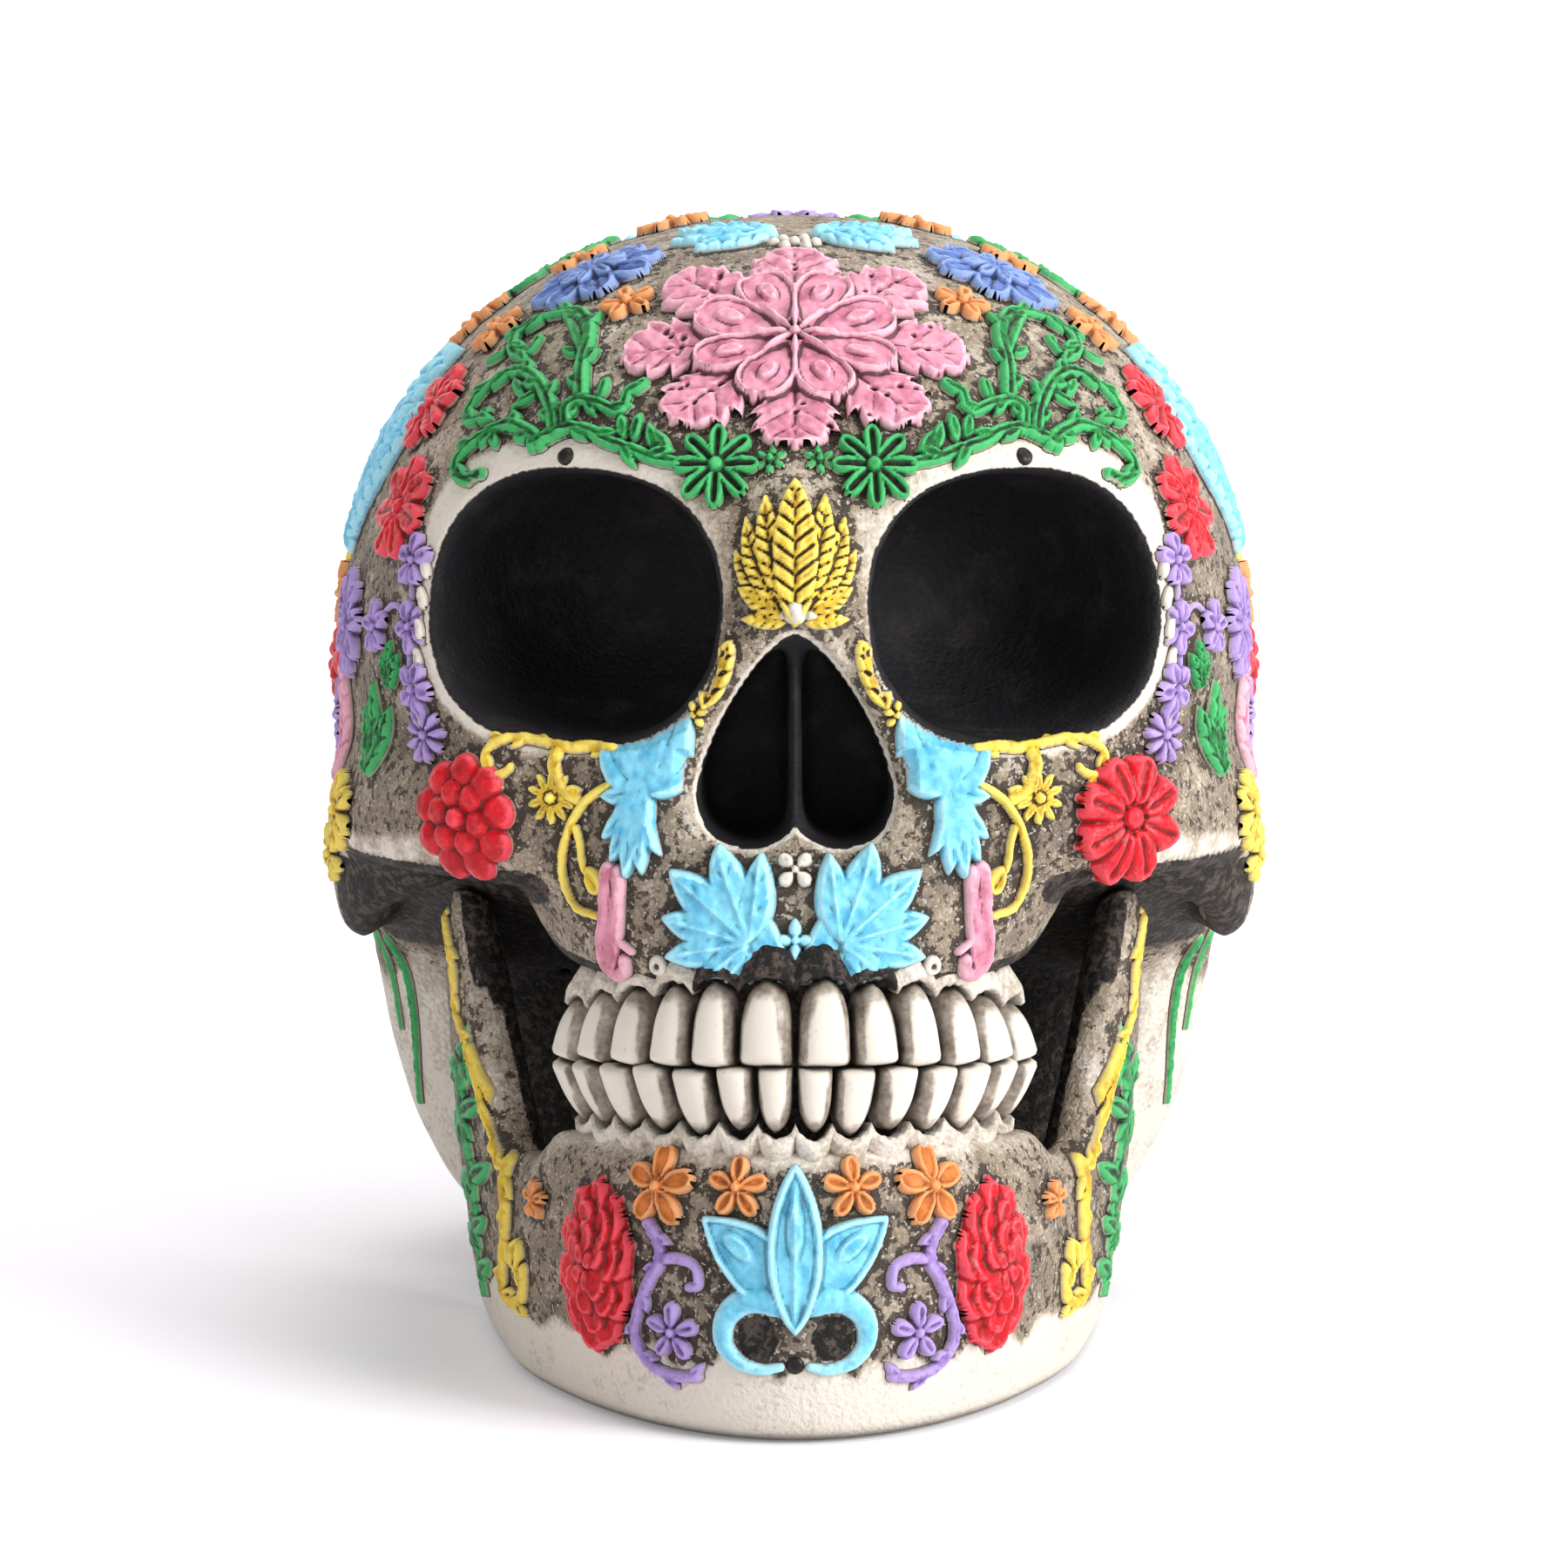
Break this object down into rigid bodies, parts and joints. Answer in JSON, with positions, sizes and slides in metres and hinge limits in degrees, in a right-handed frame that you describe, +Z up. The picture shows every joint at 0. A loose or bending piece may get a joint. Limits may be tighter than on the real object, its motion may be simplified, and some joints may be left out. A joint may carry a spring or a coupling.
{
  "type": "sugar skull",
  "caption": "Near life-size decorative skull with hollow braincase, bonded lower jaw and tooth rows, covered in bonded flower, leaf and scroll relief; stands on its jaw and nape.",
  "frame": {"origin": "on the floor under the middle of the skull's box", "axes": "+Z up, the face looks along -Y, +X is to the right as seen from the front"},
  "size_m": [0.1364, 0.1838, 0.1635],
  "materials": {
    "cast_resin": "matt, bone paint under a dark wash",
    "tooth_resin": "satin, ivory paint under a dark wash",
    "relief_pink": "matt paint, white on the crests",
    "relief_sky_blue": "matt paint",
    "relief_royal_blue": "matt paint",
    "relief_green": "matt paint",
    "relief_red": "matt paint",
    "relief_orange": "matt paint",
    "relief_yellow": "matt paint",
    "relief_lilac": "matt paint"
  },
  "bodies": {
    "root": {"cranium": "cast_resin", "mandible": "cast_resin", "upper_tooth_row": "tooth_resin", "lower_tooth_row": "tooth_resin", "forehead_flower": "relief_pink", "nose_plume": "relief_yellow", "chin_lotus": "relief_sky_blue", "crown_leaf_right": "relief_sky_blue", "crown_leaf_left": "relief_sky_blue", "crown_flower_right": "relief_royal_blue", "crown_flower_left": "relief_royal_blue", "side_wing_right": "relief_sky_blue", "side_wing_left": "relief_sky_blue", "brow_scroll_right": "relief_green", "brow_scroll_left": "relief_green", "brow_flower_right": "relief_green", "brow_flower_left": "relief_green", "temple_flower_upper_right": "relief_red", "temple_flower_upper_left": "relief_red", "temple_flower_lower_right": "relief_red", "temple_flower_lower_left": "relief_red", "temple_spray_right": "relief_lilac", "temple_spray_left": "relief_lilac", "arch_flower_right": "relief_yellow", "arch_flower_left": "relief_yellow", "nose_leaf_right": "relief_sky_blue", "nose_leaf_left": "relief_sky_blue", "cheek_scroll_right": "relief_yellow", "cheek_scroll_left": "relief_yellow", "cheek_rose_right": "relief_red", "cheek_rose_left": "relief_red", "lip_leaf_right": "relief_sky_blue", "lip_leaf_left": "relief_sky_blue", "chin_flower_outer_right": "relief_orange", "chin_flower_outer_left": "relief_orange", "chin_flower_inner_right": "relief_orange", "chin_flower_inner_left": "relief_orange", "chin_scroll_right": "relief_lilac", "chin_scroll_left": "relief_lilac", "jaw_rose_right": "relief_red", "jaw_rose_left": "relief_red", "jaw_vine_right": "relief_green", "jaw_vine_left": "relief_green"}
  },
  "joints": []
}
